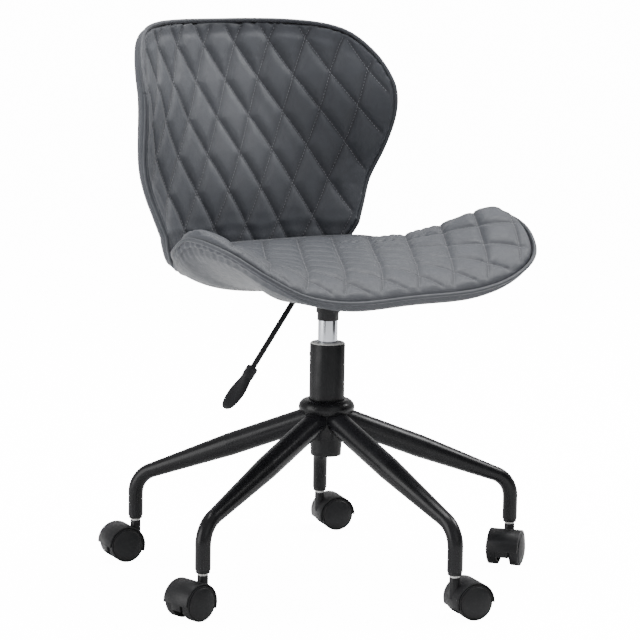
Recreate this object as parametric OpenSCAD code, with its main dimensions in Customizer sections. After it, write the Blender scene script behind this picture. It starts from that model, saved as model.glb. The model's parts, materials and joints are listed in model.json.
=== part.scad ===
// Small office chair: a quilted seat and back on a gas lift, with a five-leg base on twin-wheel casters.
// Millimetres, +Z up. The origin is on the floor under the column, and the sitter faces -Y.

/* [Base] */
// Distance from the column axis to each caster stem
stem_r = 291; // [285:0.5:300]
// Direction of the first leg, in degrees from +X
leg_turn = -92.3; // [-108:0.1:-72]
// Downward slope of the straight part of a leg, in degrees
leg_slope = 21.5; // [20.5:0.1:22.5]
// Height at which the slope and the upright end of a leg would meet
leg_corner_z = 124; // [122:0.5:127]
// Outer radius of a leg at the hub
leg_root_r = 16.6; // [15.8:0.1:16.6]
// Outer radius of a leg from the bend down
leg_tip_r = 10.8; // [10.4:0.1:11.2]
// Distance from the column axis at which a leg starts to taper
taper_x = 145; // [120:5:170]
// Radius of the bend on the leg's centre line
bend_r = 38; // [34:1:40]

/* [Casters] */
// Radius of a caster wheel
wheel_r = 25; // [24:0.5:25]
// Distance that the axle trails behind the stem
trail = 22; // [20:0.5:24]
// Overall width over the two wheels
caster_w = 57; // [55:0.5:58]
// Direction in which each caster trails, in degrees from +X
caster_turn = [-18, 213, -21, 167, 184];

/* [Gas lift] */
// Outer radius of the column tube
column_r = 25.3; // [25:0.1:25.6]
// Height of the top of the column tube
column_top = 339.4; // [336:0.2:342]
// Outer radius of the chrome cylinder
cylinder_r = 14; // [14:0.05:14.1]
// Height of the mouth of the seat socket when the chair is at its lowest
socket_z = 373; // [372:0.5:374]

/* [Seat] */
// Height of the middle of the seat
seat_z = 468; // [464:1:472]
// Height of the flat underside of the seat
seat_under_z = 421; // [421:0.1:421.4]
// Depth of the border strip between the seat piping and the lower edge
seat_strip = 14; // [12:1:16]

/* [Back] */
// Height of the top edge of the back
back_top = 785; // [780:1:790]
// Half width of the back at its widest
back_half_w = 228.5; // [226:0.5:231]
// Thickness of the back at its edge
back_edge_t = 13; // [13:0.5:15]
// Thickness of the back in its middle
back_mid_t = 32; // [30:1:36]

/* [Lever] */
// Distance from the column axis to the lever's pivot
pivot_x = 32; // [31:0.5:33]
// Angle below the horizontal of the outer part of the lever
lever_drop = 50.8; // [48:0.1:53]
// Length of the sloping rod, up to the paddle's tip
lever_len = 192; // [186:1:198]

/* [Hidden] */
$fn = 64;
leg_count = 5;
fit = 0.05;                 // radial clearance of a shaft that turns or slides in its hole
eps = 0.01;

// Base and legs
hub_r = 28.4;
hub_low_z = 202;
hub_top_z = 240;
collar_top_z = 259;
collar_r = 40.2;
collar_round = 12;
tube_wall = 1.6;
column_foot_z = 177;
column_foot_r = 21.8;
leg_wall = 1.5;
leg_end_z = 65;
socket_bore_r = leg_tip_r - leg_wall;
tangent = bend_r * tan((90 - leg_slope) / 2);
bend_x = stem_r - tangent * cos(leg_slope);
bend_z = leg_corner_z + tangent * sin(leg_slope);
upright_top_z = leg_corner_z - tangent;
leg_run = (bend_x - hub_r) / cos(leg_slope);
taper_run = (bend_x - taper_x) / cos(leg_slope);
leg_into_hub = 12;
bend_lap = 1;
bend_swell = 0.15;

// Casters
stem_pin_r = 5.5;
stem_low_z = 24;
stem_top_z = 94;
axle_r = 3;
hood_gap = 1;
hood_wall = 2;
dome_h = 5;
web_w = 18.4;
hood_w = caster_w - 2 * dome_h;
hood_low_z = 15;
boss_r = 7.5;
boss_top_z = 56.5;
washer_z = 57.5;
washer_h = 3;
wheel_side_gap = 0.5;

// Gas lift
bush_len = 64;
bore_r = 12.5;
rod_r = 5;
cylinder_low_z = 200;
cylinder_top_z = 401.5;
cylinder_cap = 6;
cylinder_tip_r = 13;
pin_r = 3;
piston_z = 300;
end_plate_z = 182;
end_plate_h = 4;
bearing_h = 5;

// Seat mechanism and lever
pan_half = [55, 42];
pan_z = 403.5;
pan_wall = 2;
flange_half = [75, 90];
flange_h = 3;
flange_z = seat_under_z - 0.3 - flange_h;   // the flange lies 0.3 below the seat's underside
bolt_at = [62, 78];
bolt_r = 3;
lever_r = 4;
lever_z = 410;
lever_bend_x = 60;
paddle_len = 83;
paddle_w = 26;
paddle_collar = 18;

// Soft parts
cover_t = 2.2;
board_t = 8;
board_reach = 0.9;          // how far the moulded boards reach towards the edge
skin_gap = 0.3;
piping_r = 3;
piping_gap = 0.7;
edge_steps = 52;            // points round each upholstered edge
rings = [0.15, 0.35, 0.55, 0.72, 0.82, 0.9, 0.95, 1];
bracket_z = 438.5;          // on the seat board, in front of the back board
bracket_x = 55;
bracket_half_w = 15;
bracket_lean = 8.5;
seat_mid = [0, 0];
back_mid_z = 615;
back_low_y = 190;           // where the front of the back meets the seat

// Right half of the seat's edge from the front centre to the rear centre: x, y, height of the piping,
// height of the rounded shoulder inside it, where that rounding starts (0 centre, 1 edge), and the
// depth of the border below the piping.
seat_edge = [
    [0, -186, 430, 38, 0.5, seat_strip], [110, -185, 430, 38, 0.5, seat_strip],
    [188, -182, 444, 28, 0.62, seat_strip - 2], [241, -167, 471, 23, 0.74, seat_strip - 3],
    [272, -116, 502, 28, 0.8, seat_strip - 2], [284, -50, 514, 36, 0.83, seat_strip - 1],
    [272, 0, 493, 36, 0.82, seat_strip], [232, 52, 473, 22, 0.82, seat_strip + 2],
    [192, 100, 468, 9, 0.84, seat_strip + 8], [171, 138, 469, 4, 0.88, seat_strip + 16],
    [125, 169, 467, 3, 0.9, seat_strip + 20], [60, 184, 466, 3, 0.9, seat_strip + 20]
];
seat_edge_rear = [0, 187, 466, 3, 0.9, seat_strip + 20];
// Right half of the back's edge from the top centre to the bottom centre: x and height.
back_edge = [
    [0, back_top], [120, back_top - 1], [180, back_top - 12], [211, back_top - 42],
    [back_half_w - 2, 702], [back_half_w, 652], [219, 598], [199, 548], [181, 502], [165, 466],
    [140, 440], [70, 432]
];
back_edge_low = [0, 432];

// --- Curves and surfaces of the upholstered parts ---

function mix(a, b, t) = a + (b - a) * t;
function clamp01(t) = max(0, min(1, t));
function smooth(t) = clamp01(t) * clamp01(t) * (3 - 2 * clamp01(t));
function flip_x(p) = [for (i = [0:len(p) - 1]) i == 0 ? -p[0] : p[i]];

// A closed list of points from its right half, its last point and the mirrored left half.
function both_sides(half, last) = concat(half, [last], [for (i = [len(half) - 1:-1:1]) flip_x(half[i])]);

// Catmull-Rom curve through the closed list of points, at position s from 0 to 1.
function loop_point(pts, s) =
    let (n = len(pts), f = s * n, i = floor(f), t = f - i,
         a = pts[(i + n - 1) % n], b = pts[i % n], c = pts[(i + 1) % n], d = pts[(i + 2) % n])
    0.5 * (2 * b + (c - a) * t + (2 * a - 5 * b + 4 * c - d) * t * t + (3 * b - a - 3 * c + d) * t * t * t);

seat_loop = both_sides(seat_edge, seat_edge_rear);
back_loop = both_sides(back_edge, back_edge_low);
seat_rim = [for (k = [0:edge_steps - 1]) loop_point(seat_loop, 1 - k / edge_steps)];   // clockwise
back_rim = [for (k = [0:edge_steps - 1]) loop_point(back_loop, k / edge_steps)];

// Rounding that falls from 0 at r0 to 1 at the edge along a quarter circle.
function shoulder(r, r0) = r <= r0 ? 0 : 1 - sqrt(max(0, 1 - pow((r - r0) / (1 - r0), 2)));

// Height of the foam's lower side above the cover's: it rests on the board within its reach.
function board_lift(r) = cover_t + skin_gap + (r <= board_reach ? board_t + skin_gap : 0);

// Seat: top and underside, at ratio r from the centre towards rim point k.
function seat_xy(r, k) = [mix(seat_mid[0], seat_rim[k][0], r), mix(seat_mid[1], seat_rim[k][1], r)];
function seat_top_z(r, k) =
    let (e = seat_rim[k])
    seat_z + (e[2] + e[3] - seat_z) * pow(r, 3.2) - e[3] * shoulder(r, e[4]);
function seat_low_z(r, k) =
    let (e = seat_rim[k], power = mix(5.5, 3.4, smooth((e[2] - 470) / 35)))
    seat_under_z + (e[2] - e[5] - seat_under_z) * pow(r, power);
function seat_pt(r, k, z) = [seat_xy(r, k)[0], seat_xy(r, k)[1], z];

// Back: its front face is y as a function of x and z, wrapping forward at both sides.
function back_half(z) = 228 - 50 * pow(clamp01((680 - z) / 190), 2);
function back_wrap(z) = 48 + 66 * smooth((z - 540) / 160);
function back_power(z) = 2.2 + 1.8 * pow(clamp01((700 - z) / 160), 1.5);
function back_line(z) = back_low_y + 42 * (1 - cos(max(0, z - 490) / 2));
function back_y(x, z) = back_line(z) - back_wrap(z) * pow(abs(x) / back_half(z), back_power(z));
function unit(v) = v / norm(v);
function back_normal(x, z) =
    let (dx = back_y(x + 1, z) - back_y(x - 1, z), dz = back_y(x, z + 1) - back_y(x, z - 1))
    unit([-dx / 2, 1, -dz / 2]);
function back_xz(r, k) = [back_rim[k][0] * r, mix(back_mid_z, back_rim[k][1], r)];
function back_thick(r) = mix(back_mid_t, back_edge_t, pow(r, 4));
function back_pt(r, k, depth) =
    let (q = back_xz(r, k))
    [q[0], back_y(q[0], q[1]), q[1]] + depth * back_normal(q[0], q[1]);

// Solid between two nets that share the rings rs: front(r, k) above or before, rear(r, k) behind.
module net_solid(front, rear, count) {
    n = edge_steps;
    last = 1 + (count - 1) * n;
    half = 1 + count * n;
    faces_front = concat(
        [for (k = [0:n - 1]) [0, 1 + k, 1 + (k + 1) % n]],
        [for (j = [0:count - 2], k = [0:n - 1]) let (a = 1 + j * n + k, b = 1 + j * n + (k + 1) % n)
            [a, a + n, b]],
        [for (j = [0:count - 2], k = [0:n - 1]) let (b = 1 + j * n + (k + 1) % n, a = 1 + j * n + k)
            [b, a + n, b + n]]
    );
    faces_rear = [for (f = faces_front) [half + f[0], half + f[2], half + f[1]]];
    faces_edge = [for (k = [0:n - 1], s = [0, 1])
        let (a = last + k, b = last + (k + 1) % n)
        s == 0 ? [a, half + a, b] : [b, half + a, half + b]];
    polyhedron(points = concat(front, rear), faces = concat(faces_front, faces_rear, faces_edge));
}

function seat_net(count, lift_low, on_top) =
    concat([[seat_mid[0], seat_mid[1], on_top ? seat_z : seat_under_z + lift_low]],
        [for (j = [0:count - 1], k = [0:edge_steps - 1])
            seat_pt(rings[j], k, on_top ? seat_top_z(rings[j], k) : seat_low_z(rings[j], k) + lift_low)]);

function back_net(count, depth_of) =
    concat([back_pt(0, 0, depth_of[0])],
        [for (j = [0:count - 1], k = [0:edge_steps - 1]) back_pt(rings[j], k, depth_of[j + 1])]);

ring_all = len(rings);
ring_board = 6;             // the first six rings end at board_reach
back_cushion_depth = concat([back_mid_t], [for (r = rings) back_thick(r)]);
function back_depths(offset) = [for (d = back_cushion_depth) d - offset];

// Round tube of radius r along a closed list of points, with six sides.
module loop_tube(path, r) {
    n = len(path);
    sides = 6;
    pts = [for (i = [0:n - 1])
        let (t = unit(path[(i + 1) % n] - path[(i + n - 1) % n]),
             u = unit(cross(t, [0.13, 0.37, 0.92])), v = cross(t, u))
        for (s = [0:sides - 1]) path[i] + r * (cos(s * 60) * u + sin(s * 60) * v)];
    faces = [for (i = [0:n - 1], s = [0:sides - 1], h = [0, 1])
        let (a = i * sides + s, b = i * sides + (s + 1) % sides,
             c = ((i + 1) % n) * sides + s, d = ((i + 1) % n) * sides + (s + 1) % sides)
        h == 0 ? [a, c, b] : [b, c, d]];
    polyhedron(points = pts, faces = faces);
}

// --- Helpers ---

module ring(r_out, r_in, h) {
    difference() {
        cylinder(r = r_out, h = h);
        translate([0, 0, -1]) cylinder(r = r_in, h = h + 2);
    }
}

// Flat plate with round corners, centred on X and Y.
module round_plate(half, h, r) {
    translate([-half[0] + r, -half[1], 0]) cube([2 * (half[0] - r), 2 * half[1], h]);
    translate([-half[0], -half[1] + r, 0]) cube([2 * half[0], 2 * (half[1] - r), h]);
    for (sx = [-1, 1], sy = [-1, 1])
        translate([sx * (half[0] - r), sy * (half[1] - r), 0]) cylinder(r = r, h = h);
}

module at_leg(i) {
    rotate([0, 0, leg_turn + i * 360 / leg_count]) children();
}

module at_caster(i) {
    at_leg(i) translate([stem_r, 0, 0])
        rotate([0, 0, caster_turn[i] - leg_turn - i * 360 / leg_count]) children();
}

module at_wheel_axis(i) {
    at_caster(i) translate([trail, 0, wheel_r]) rotate([-90, 0, 0]) children();
}

module at_bolts() {
    for (sx = [-1, 1], sy = [-1, 1]) translate([sx * bolt_at[0], sy * bolt_at[1], 0]) children();
}

// --- Base ---

// The tapered outer shape of the column, widened by grow.
module column_body(grow) {
    translate([0, 0, hub_top_z]) cylinder(r = column_r + grow, h = column_top - hub_top_z);
    translate([0, 0, column_foot_z])
        cylinder(r1 = column_foot_r + grow, r2 = column_r + grow, h = hub_top_z - column_foot_z);
}

module hub_sleeve() {
    color("#17181a") difference() {
        translate([0, 0, hub_low_z]) cylinder(r = hub_r, h = hub_top_z - hub_low_z);
        column_body(eps);
    }
}

// Straight part of a leg: it widens from the bend up to taper_x, then runs on evenly into the column.
module leg_cone(grow) {
    per_mm = (leg_root_r - leg_tip_r) / taper_run;
    root = leg_root_r + grow;
    inner_end = leg_run + leg_into_hub;
    translate([bend_x, 0, bend_z]) rotate([0, leg_slope - 90, 0]) rotate_extrude() polygon([
        [0, -bend_lap], [leg_tip_r + grow - per_mm * bend_lap, -bend_lap], [root, taper_run],
        [root, inner_end], [0, inner_end]
    ]);
}

// Cone, bend and upright end down to z_end. The bend swells a little, as a bent tube does.
module leg_solid(grow, z_end) {
    leg_cone(grow);
    translate([stem_r - bend_r, 0, upright_top_z]) rotate([90, 0, 0])
        rotate_extrude(angle = 90 - leg_slope)
            translate([bend_r, 0]) circle(r = leg_tip_r + grow + bend_swell);
    translate([stem_r, 0, z_end]) cylinder(r = leg_tip_r + grow, h = upright_top_z + bend_lap - z_end);
}

module leg(i) {
    color("#141517") at_leg(i) difference() {
        leg_solid(0, leg_end_z);
        leg_solid(-leg_wall, leg_end_z - 1);
        translate([0, 0, hub_low_z - 40]) cylinder(r = hub_r, h = 120);
    }
}

module hub_collar() {
    collar_h = collar_top_z - hub_top_z;
    color("#17181a") difference() {
        translate([0, 0, hub_top_z]) rotate_extrude() difference() {
            union() {
                translate([column_r + fit, 0]) square([collar_r - 4 - column_r, collar_h - collar_round]);
                translate([collar_r - collar_round, collar_h - collar_round]) circle(r = collar_round);
                translate([column_r + fit, 0]) square([collar_r - collar_round - column_r, collar_h]);
            }
            translate([0, -20]) square([60, 20]);
            translate([0, 0]) square([column_r + fit, 40]);
        }
        for (i = [0:leg_count - 1]) at_leg(i) leg_cone(eps);
    }
}

module column_tube() {
    color("#1c1d20") difference() {
        column_body(0);
        translate([0, 0, hub_top_z - eps]) cylinder(r = column_r - tube_wall, h = column_top);
        translate([0, 0, column_foot_z - eps])
            cylinder(r1 = column_foot_r - tube_wall, r2 = column_r - tube_wall,
                     h = hub_top_z - column_foot_z + 2 * eps);
        rotate([0, 0, 140]) translate([column_r - 4, 0, column_top - 16]) rotate([0, 90, 0])
            cylinder(r = 2.5, h = 8);
    }
}

module column_bush() {
    color("#d9d9d6") difference() {
        union() {
            translate([0, 0, column_top - bush_len]) cylinder(r = column_r - tube_wall, h = bush_len);
            translate([0, 0, column_top]) cylinder(r1 = column_r - 0.4, r2 = column_r - 1.8, h = 1.6);
            rotate([0, 0, 140]) translate([column_r - 5, 0, column_top - 16]) rotate([0, 90, 0])
                cylinder(r = 2.45, h = 5.6);
        }
        translate([0, 0, column_top - bush_len - 1]) cylinder(r = cylinder_r + fit, h = bush_len + 4);
    }
}

module column_end_plate() {
    color("#6d6f72") translate([0, 0, end_plate_z]) ring(column_foot_r - tube_wall, rod_r + 2, end_plate_h);
}

module thrust_bearing() {
    color("#8a8c90") translate([0, 0, end_plate_z + end_plate_h]) ring(14, rod_r + 2, bearing_h);
}

module caster_sockets() {
    color("#1a1a1b") for (i = [0:leg_count - 1]) at_leg(i) translate([stem_r, 0, 0]) difference() {
        union() {
            translate([0, 0, leg_end_z]) cylinder(r = socket_bore_r - eps, h = upright_top_z - leg_end_z - 1);
            translate([0, 0, washer_z + washer_h])
                cylinder(r = leg_tip_r - 1, h = leg_end_z - washer_z - washer_h);
        }
        translate([0, 0, washer_z]) cylinder(r = stem_pin_r + fit, h = stem_top_z + 1 - washer_z);
    }
}

module stem_washers() {
    color("#e8e8e6") for (i = [0:leg_count - 1]) at_leg(i) translate([stem_r, 0, washer_z])
        ring(7.4, stem_pin_r + fit, washer_h);
}

// --- Spindle that carries the lift and turns on the thrust bearing ---

module piston_rod() {
    color("#b9bcc0") {
        translate([0, 0, end_plate_z - 4]) cylinder(r = rod_r, h = piston_z - end_plate_z + 4);
        translate([0, 0, end_plate_z + end_plate_h + bearing_h + 0.1]) cylinder(r = 10, h = 3);
    }
}

module piston() {
    color("#55575b") translate([0, 0, piston_z]) cylinder(r = bore_r - fit, h = 10);
}

module lift_buffer() {
    color("#2a2a2b") translate([0, 0, end_plate_z + end_plate_h + bearing_h + 3.1]) ring(11, rod_r, 4);
}

module retaining_clip() {
    color("#9c9fa3") translate([0, 0, end_plate_z - 1.7]) ring(8.5, rod_r, 1.5);
}

// --- Seat body: cylinder, mechanism, seat and back ---

module gas_cylinder() {
    color("#d5d7da") difference() {
        union() {
            translate([0, 0, cylinder_low_z]) cylinder(r = cylinder_r, h = socket_z - cylinder_low_z);
            translate([0, 0, socket_z])
                cylinder(r1 = cylinder_r, r2 = cylinder_tip_r, h = cylinder_top_z - socket_z);
        }
        translate([0, 0, cylinder_low_z + cylinder_cap])
            cylinder(r = bore_r, h = socket_z - cylinder_low_z - cylinder_cap - 4);
        translate([0, 0, cylinder_low_z - 1]) cylinder(r = rod_r + fit, h = cylinder_cap + 2);
        translate([0, 0, socket_z - 5]) cylinder(r = pin_r + fit, h = cylinder_top_z - socket_z + 6);
    }
}

// A pressed tray under a bolted flange, with the tapered socket below it. The lever passes over the
// socket through a long window in the floor and a notch in the side wall.
module seat_mechanism() {
    inner = [pan_half[0] - pan_wall, pan_half[1] - pan_wall];
    pan_r = 12;
    color("#161719") difference() {
        union() {
            translate([0, 0, socket_z]) cylinder(r = 15.4, h = 12);
            translate([0, 0, socket_z + 11]) cylinder(r = 17, h = pan_z - socket_z - 11);
            difference() {
                translate([0, 0, pan_z]) round_plate(pan_half, flange_z - pan_z, pan_r);
                translate([0, 0, pan_z + pan_wall]) round_plate(inner, 40, pan_r - pan_wall);
            }
            translate([0, 0, flange_z]) difference() {
                round_plate(flange_half, flange_h, 10);
                translate([0, 0, -1]) round_plate(inner, 10, pan_r - pan_wall);
            }
            for (s = [-1, 1])
                translate([-pivot_x - 6, s * 11 - 2, pan_z + pan_wall])
                    cube([12, 4, lever_z + 6 - pan_z - pan_wall]);
        }
        translate([0, 0, socket_z - eps])
            cylinder(r1 = cylinder_r + eps, r2 = cylinder_tip_r + eps, h = cylinder_top_z - socket_z + eps);
        translate([0, 0, cylinder_top_z - eps]) cylinder(r = cylinder_tip_r + eps, h = 10);
        at_bolts() translate([0, 0, seat_under_z - 10]) cylinder(r = bolt_r + 0.2, h = 12);
        translate([-pivot_x, 20, lever_z]) rotate([90, 0, 0]) cylinder(r = 3, h = 40);
        translate([-pivot_x - 12, -9, pan_z - 1]) cube([pivot_x + 14, 18, pan_wall + 2]);
        translate([-pan_half[0] - 5, -6, lever_z - 5]) cube([12, 12, 12]);
    }
}

module lever_pin() {
    color("#9c9fa3") translate([-pivot_x, 14, lever_z]) rotate([90, 0, 0]) cylinder(r = 3 - eps, h = 28);
}

module mechanism_bolts() {
    color("#85878b") at_bolts() {
        translate([0, 0, flange_z - 4]) cylinder(r = 5.6, h = 4, $fn = 6);
        translate([0, 0, flange_z - 0.5]) cylinder(r = bolt_r, h = flange_h + 11);
    }
}

module tee_nuts() {
    color("#a4a6aa") at_bolts() translate([0, 0, seat_under_z + cover_t + skin_gap + board_t - 1.2]) {
        ring(9, bolt_r + 0.6, 1.2);
        translate([0, 0, -5]) ring(4.6, bolt_r + 0.6, 5);
    }
}

module seat_shell() {
    color("#b98f5e") net_solid(
        seat_net(ring_board, cover_t + skin_gap + board_t, false),
        seat_net(ring_board, cover_t + skin_gap, false), ring_board);
}

module seat_cushion() {
    color("#5d6166") net_solid(
        seat_net(ring_all, 0, true),
        concat([[seat_mid[0], seat_mid[1], seat_under_z + board_lift(0)]],
            [for (j = [0:ring_all - 1], k = [0:edge_steps - 1])
                seat_pt(rings[j], k, seat_low_z(rings[j], k) + board_lift(rings[j]))]),
        ring_all);
}

module seat_under_cover() {
    color("#6f7276") net_solid(seat_net(ring_all, cover_t, false), seat_net(ring_all, 0, false), ring_all);
}

module seat_piping() {
    color("#4a4d52") loop_tube(
        [for (k = [0:edge_steps - 1])
            let (e = seat_rim[k], m = norm([e[0], e[1]]), g = (m + piping_r + piping_gap) / m)
            [e[0] * g, e[1] * g, e[2] - piping_r]],
        piping_r);
}

module back_cushion() {
    color("#5d6166") net_solid(
        back_net(ring_all, [for (d = back_cushion_depth) 0]),
        back_net(ring_all, concat([back_mid_t - board_lift(0)], [for (r = rings) back_thick(r) - board_lift(r)])),
        ring_all);
}

module back_shell() {
    color("#b98f5e") net_solid(
        back_net(ring_board, back_depths(cover_t + skin_gap + board_t)),
        back_net(ring_board, back_depths(cover_t + skin_gap)), ring_board);
}

module back_rear_cover() {
    color("#575a5f") net_solid(
        back_net(ring_all, back_depths(cover_t)), back_net(ring_all, back_depths(0)), ring_all);
}

module back_piping() {
    color("#4a4d52") loop_tube(
        [for (k = [0:edge_steps - 1])
            let (e = back_rim[k], d = unit([e[0], 0, e[1] - back_mid_z]), n = back_normal(e[0], e[1]),
                 out = unit(d - (d * n) * n))
            [e[0], back_y(e[0], e[1]), e[1]] + (piping_r + piping_gap) * out + piping_r * n],
        piping_r);
}

module at_brackets() {
    for (s = [-1, 1]) translate([s * bracket_x, 0, bracket_z]) children();
}

// The upright plate of a bracket, which leans back with the moulded board.
module at_bracket_upright() {
    translate([0, back_low_y + 2.5, 0]) rotate([-bracket_lean, 0, 0]) children();
}

module corner_brackets() {
    y0 = back_low_y + 2.5;
    t = 3;
    lean_y = 88 * sin(bracket_lean);
    lean_z = 88 * cos(bracket_lean);
    profile = [
        [100, 0], [y0 + t, 0], [y0 + t + lean_y, lean_z],
        [y0 + lean_y, lean_z], [y0 + t * tan(bracket_lean), t], [100, t]
    ];
    color("#7b7d81") at_brackets()
        rotate([90, 0, 90]) translate([0, 0, -bracket_half_w])
            linear_extrude(2 * bracket_half_w) polygon(profile);
}

module bracket_screws() {
    color("#85878b") at_brackets() for (x = [-9, 9]) {
        for (y = [115, 145]) translate([x, y, 3]) {
            cylinder(r = 4, h = 2);
            translate([0, 0, -13]) cylinder(r = 2, h = 14);
        }
        at_bracket_upright() for (z = [45, 75]) translate([x, 0, z]) rotate([90, 0, 0]) {
            cylinder(r = 4, h = 2);
            translate([0, 0, -12]) cylinder(r = 2, h = 13);
        }
    }
}

// --- Lever and release pin ---

module lever_rod() {
    color("#17181a") difference() {
        union() {
            translate([-lever_bend_x, 0, lever_z]) rotate([0, 90, 0])
                cylinder(r = lever_r, h = lever_bend_x + 4);
            translate([-lever_bend_x, 0, lever_z]) sphere(r = lever_r + bend_swell);
            translate([-lever_bend_x, 0, lever_z]) rotate([0, -90 - lever_drop, 0])
                cylinder(r = lever_r, h = lever_len - paddle_len + 12);
            translate([-pivot_x, 8, lever_z]) rotate([90, 0, 0]) cylinder(r = 6.5, h = 16);
        }
        translate([-pivot_x, 12, lever_z]) rotate([90, 0, 0]) cylinder(r = 3 + fit, h = 24);
    }
}

module lever_paddle() {
    color("#26272a") translate([-lever_bend_x, 0, lever_z]) rotate([0, -90 - lever_drop, 0])
        translate([0, 0, lever_len - paddle_len]) difference() {
            union() {
                cylinder(r1 = 7.6, r2 = 8.4, h = paddle_collar);
                hull() {
                    translate([0, 0, paddle_collar - 4]) sphere(r = 7.4, $fn = 32);
                    for (s = [-1, 1]) {
                        translate([-2, s * (paddle_w / 2 - 4.5), 46]) sphere(r = 4.5, $fn = 32);
                        translate([-3, s * (paddle_w / 2 - 7), paddle_len - 12]) sphere(r = 4.5, $fn = 32);
                    }
                    translate([-3, 0, paddle_len - 4.5]) sphere(r = 4.5, $fn = 32);
                }
            }
            translate([0, 0, -1]) cylinder(r = lever_r + eps, h = 13);
        }
}

module release_pin() {
    pin_top_z = lever_z - lever_r - 0.6;
    color("#c2a15a") translate([0, 0, cylinder_top_z - 18])
        cylinder(r = pin_r, h = pin_top_z - cylinder_top_z + 18);
}

// --- Casters ---

module caster_stem(i) {
    color("#a9acb0") at_caster(i) {
        translate([0, 0, stem_low_z]) cylinder(r = stem_pin_r, h = stem_top_z - stem_low_z - 2);
        translate([0, 0, stem_top_z - 2]) cylinder(r1 = stem_pin_r, r2 = stem_pin_r - 1.5, h = 2);
    }
}

module caster_hood(i) {
    hood_r = wheel_r + hood_gap + hood_wall;
    color("#1b1b1c") difference() {
        union() {
            difference() {
                at_wheel_axis(i) translate([0, 0, -hood_w / 2]) cylinder(r = hood_r, h = hood_w);
                at_wheel_axis(i) translate([0, 0, -hood_w]) cylinder(r = hood_r - hood_wall, h = 2 * hood_w);
                at_caster(i) translate([trail, -40, -40]) cube([80, 80, wheel_r - 1 + 40]);
            }
            at_wheel_axis(i) translate([0, 0, -web_w / 2]) cylinder(r = hood_r - hood_wall / 2, h = web_w);
            at_caster(i) translate([0, 0, wheel_r + 3]) cylinder(r = boss_r, h = boss_top_z - wheel_r - 3);
        }
        at_caster(i) translate([-40, -40, -40]) cube([100, 80, hood_low_z + 40]);
        at_caster(i) translate([0, 0, stem_low_z]) cylinder(r = stem_pin_r, h = 60);
        at_wheel_axis(i) translate([0, 0, -20]) cylinder(r = axle_r, h = 40);
    }
}

// A wheel from its inner face: a flat tread and a domed outer face.
module wheel_shape() {
    w = caster_w / 2 - web_w / 2 - wheel_side_gap;
    tread = w - dome_h;
    dome_r = (wheel_r * wheel_r + dome_h * dome_h) / (2 * dome_h);
    difference() {
        union() {
            cylinder(r = wheel_r, h = tread);
            intersection() {
                translate([0, 0, tread - eps]) cylinder(r = wheel_r, h = dome_h + 1);
                translate([0, 0, tread + dome_h - dome_r]) sphere(r = dome_r, $fn = 128);
            }
        }
        translate([0, 0, -1]) cylinder(r = axle_r + fit, h = tread - 1);
    }
}

module wheel(i, side) {
    color("#202021") at_wheel_axis(i) rotate([side > 0 ? 0 : 180, 0, 0])
        translate([0, 0, web_w / 2 + wheel_side_gap]) wheel_shape();
}

module caster_axle(i) {
    reach = caster_w / 2 - dome_h - 4;
    color("#b9bcc0") at_wheel_axis(i) translate([0, 0, -reach]) cylinder(r = axle_r, h = 2 * reach);
}

hub_sleeve();
hub_collar();
column_tube();
column_bush();
column_end_plate();
thrust_bearing();
leg(0);  // leg_1
leg(1);  // leg_2
leg(2);  // leg_3
leg(3);  // leg_4
leg(4);  // leg_5
caster_sockets();
stem_washers();
piston_rod();
piston();
lift_buffer();
retaining_clip();
gas_cylinder();
seat_mechanism();
lever_pin();
mechanism_bolts();
tee_nuts();
seat_shell();
seat_cushion();
seat_under_cover();
seat_piping();
back_shell();
back_cushion();
back_rear_cover();
back_piping();
corner_brackets();
bracket_screws();
lever_rod();
lever_paddle();
release_pin();
caster_stem(0);  // caster_stem_1
caster_stem(1);  // caster_stem_2
caster_stem(2);  // caster_stem_3
caster_stem(3);  // caster_stem_4
caster_stem(4);  // caster_stem_5
caster_hood(0);  // caster_hood_1
caster_hood(1);  // caster_hood_2
caster_hood(2);  // caster_hood_3
caster_hood(3);  // caster_hood_4
caster_hood(4);  // caster_hood_5
wheel(0, 1);  // wheel_left_1
wheel(1, 1);  // wheel_left_2
wheel(2, 1);  // wheel_left_3
wheel(3, 1);  // wheel_left_4
wheel(4, 1);  // wheel_left_5
wheel(0, -1);  // wheel_right_1
wheel(1, -1);  // wheel_right_2
wheel(2, -1);  // wheel_right_3
wheel(3, -1);  // wheel_right_4
wheel(4, -1);  // wheel_right_5
caster_axle(0);  // caster_axle_1
caster_axle(1);  // caster_axle_2
caster_axle(2);  // caster_axle_3
caster_axle(3);  // caster_axle_4
caster_axle(4);  // caster_axle_5
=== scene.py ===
import json
import math

import bmesh
import bpy
import numpy as np
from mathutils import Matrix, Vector
from mathutils.bvhtree import BVHTree


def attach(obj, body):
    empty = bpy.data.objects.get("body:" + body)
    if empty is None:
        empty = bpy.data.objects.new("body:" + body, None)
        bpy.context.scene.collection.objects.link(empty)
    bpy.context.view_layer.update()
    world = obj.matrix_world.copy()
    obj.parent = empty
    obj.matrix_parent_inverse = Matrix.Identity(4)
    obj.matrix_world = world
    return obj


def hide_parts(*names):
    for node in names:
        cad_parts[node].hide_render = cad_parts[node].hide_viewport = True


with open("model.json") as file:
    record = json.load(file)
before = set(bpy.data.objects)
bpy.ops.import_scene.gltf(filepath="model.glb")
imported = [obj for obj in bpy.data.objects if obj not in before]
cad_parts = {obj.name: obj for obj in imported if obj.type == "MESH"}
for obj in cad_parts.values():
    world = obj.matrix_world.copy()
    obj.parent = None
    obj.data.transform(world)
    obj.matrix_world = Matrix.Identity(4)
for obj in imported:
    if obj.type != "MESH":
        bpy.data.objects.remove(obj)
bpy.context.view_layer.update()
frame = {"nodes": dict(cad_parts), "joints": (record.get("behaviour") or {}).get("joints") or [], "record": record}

# Looks of the quilted swivel chair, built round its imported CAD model. Metres, +Z up, and the sitter
# faces -Y. The upholstered surfaces follow the same outlines and formulas as their CAD solids.

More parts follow.
